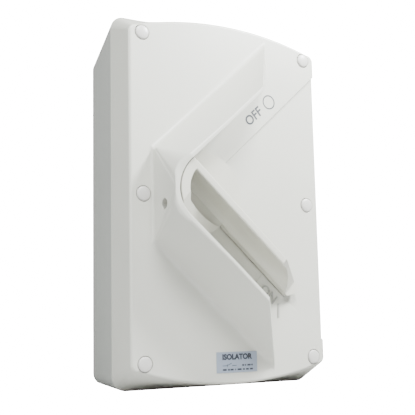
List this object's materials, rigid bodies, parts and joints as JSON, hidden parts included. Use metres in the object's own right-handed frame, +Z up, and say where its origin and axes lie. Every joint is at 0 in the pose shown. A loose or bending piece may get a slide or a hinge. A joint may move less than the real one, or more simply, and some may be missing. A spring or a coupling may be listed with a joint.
{
  "type": "rotary isolator switch",
  "caption": "Wall mounted weatherproof rotary isolator in a tall moulded case, with a long lever handle turning inside an arrow shaped guard and cable entries in the ends.",
  "frame": {"origin": "middle of the flat wall face, on the level of the handle axis", "axes": "+Y into the wall, the front faces -Y; +Z up; +X to the right seen from the front"},
  "size_m": [0.159, 0.118, 0.256],
  "materials": {
    "case_plastic": "fine moulded satin, warm off-white",
    "handle_plastic": "fine moulded satin, warm off-white",
    "cap_plastic": "smooth satin",
    "plug_plastic": "smooth satin",
    "label_film": "smooth printed film",
    "seal_rubber": "matt",
    "insulator_plastic": "moulded matt",
    "cam_plastic": "moulded satin",
    "zinc_steel": "zinc plated",
    "spring_steel": "bright",
    "plate_steel": "galvanised",
    "bar_brass": "drawn",
    "contact_copper": "stamped copper, slightly dull"
  },
  "bodies": {
    "enclosure": {"rear_base": "case_plastic", "front_cover": "case_plastic", "cover_gasket": "seal_rubber", "cover_screws": "zinc_steel", "screw_caps": "cap_plastic", "terminal_screws": "zinc_steel", "index_housing": "insulator_plastic", "index_springs": "spring_steel", "stack_end_plate": "insulator_plastic", "stack_tie_screws": "zinc_steel", "mounting_plate": "plate_steel", "plate_screws": "zinc_steel", "earth_support": "insulator_plastic", "earth_bar": "bar_brass", "earth_screws": "zinc_steel", "neutral_support": "insulator_plastic", "neutral_bar": "bar_brass", "neutral_screws": "zinc_steel", "entry_plugs": "plug_plastic", "rating_label": "label_film", "pole_housing_rear": "insulator_plastic", "fixed_contacts_rear": "contact_copper", "terminal_clamps_rear": "zinc_steel", "pole_housing_middle": "insulator_plastic", "fixed_contacts_middle": "contact_copper", "terminal_clamps_middle": "zinc_steel", "pole_housing_front": "insulator_plastic", "fixed_contacts_front": "contact_copper", "terminal_clamps_front": "zinc_steel"},
    "handle_body": {"handle": "handle_plastic", "handle_seal": "seal_rubber", "handle_retaining_clip": "spring_steel"},
    "rotor": {"drive_shaft": "zinc_steel", "index_cam": "cam_plastic", "contact_rotor_rear": "cam_plastic", "contact_rotor_middle": "cam_plastic", "contact_rotor_front": "cam_plastic", "moving_contact_rear": "contact_copper", "moving_contact_middle": "contact_copper", "moving_contact_front": "contact_copper"}
  },
  "joints": [
    {"name": "handle_turn", "type": "hinge", "parent": "enclosure", "child": "handle_body", "pos_m": [-0.03, -0.082, 0], "axis": [0, -1, 0], "range_deg": [0, 84.6]},
    {"name": "rotor_turn", "type": "hinge", "parent": "enclosure", "child": "rotor", "pos_m": [-0.03, -0.082, 0], "axis": [0, -1, 0], "range_deg": [0, 84.6]}
  ],
  "couplings": [
    {"joint": "rotor_turn", "follows": "handle_turn", "ratio": 1}
  ]
}
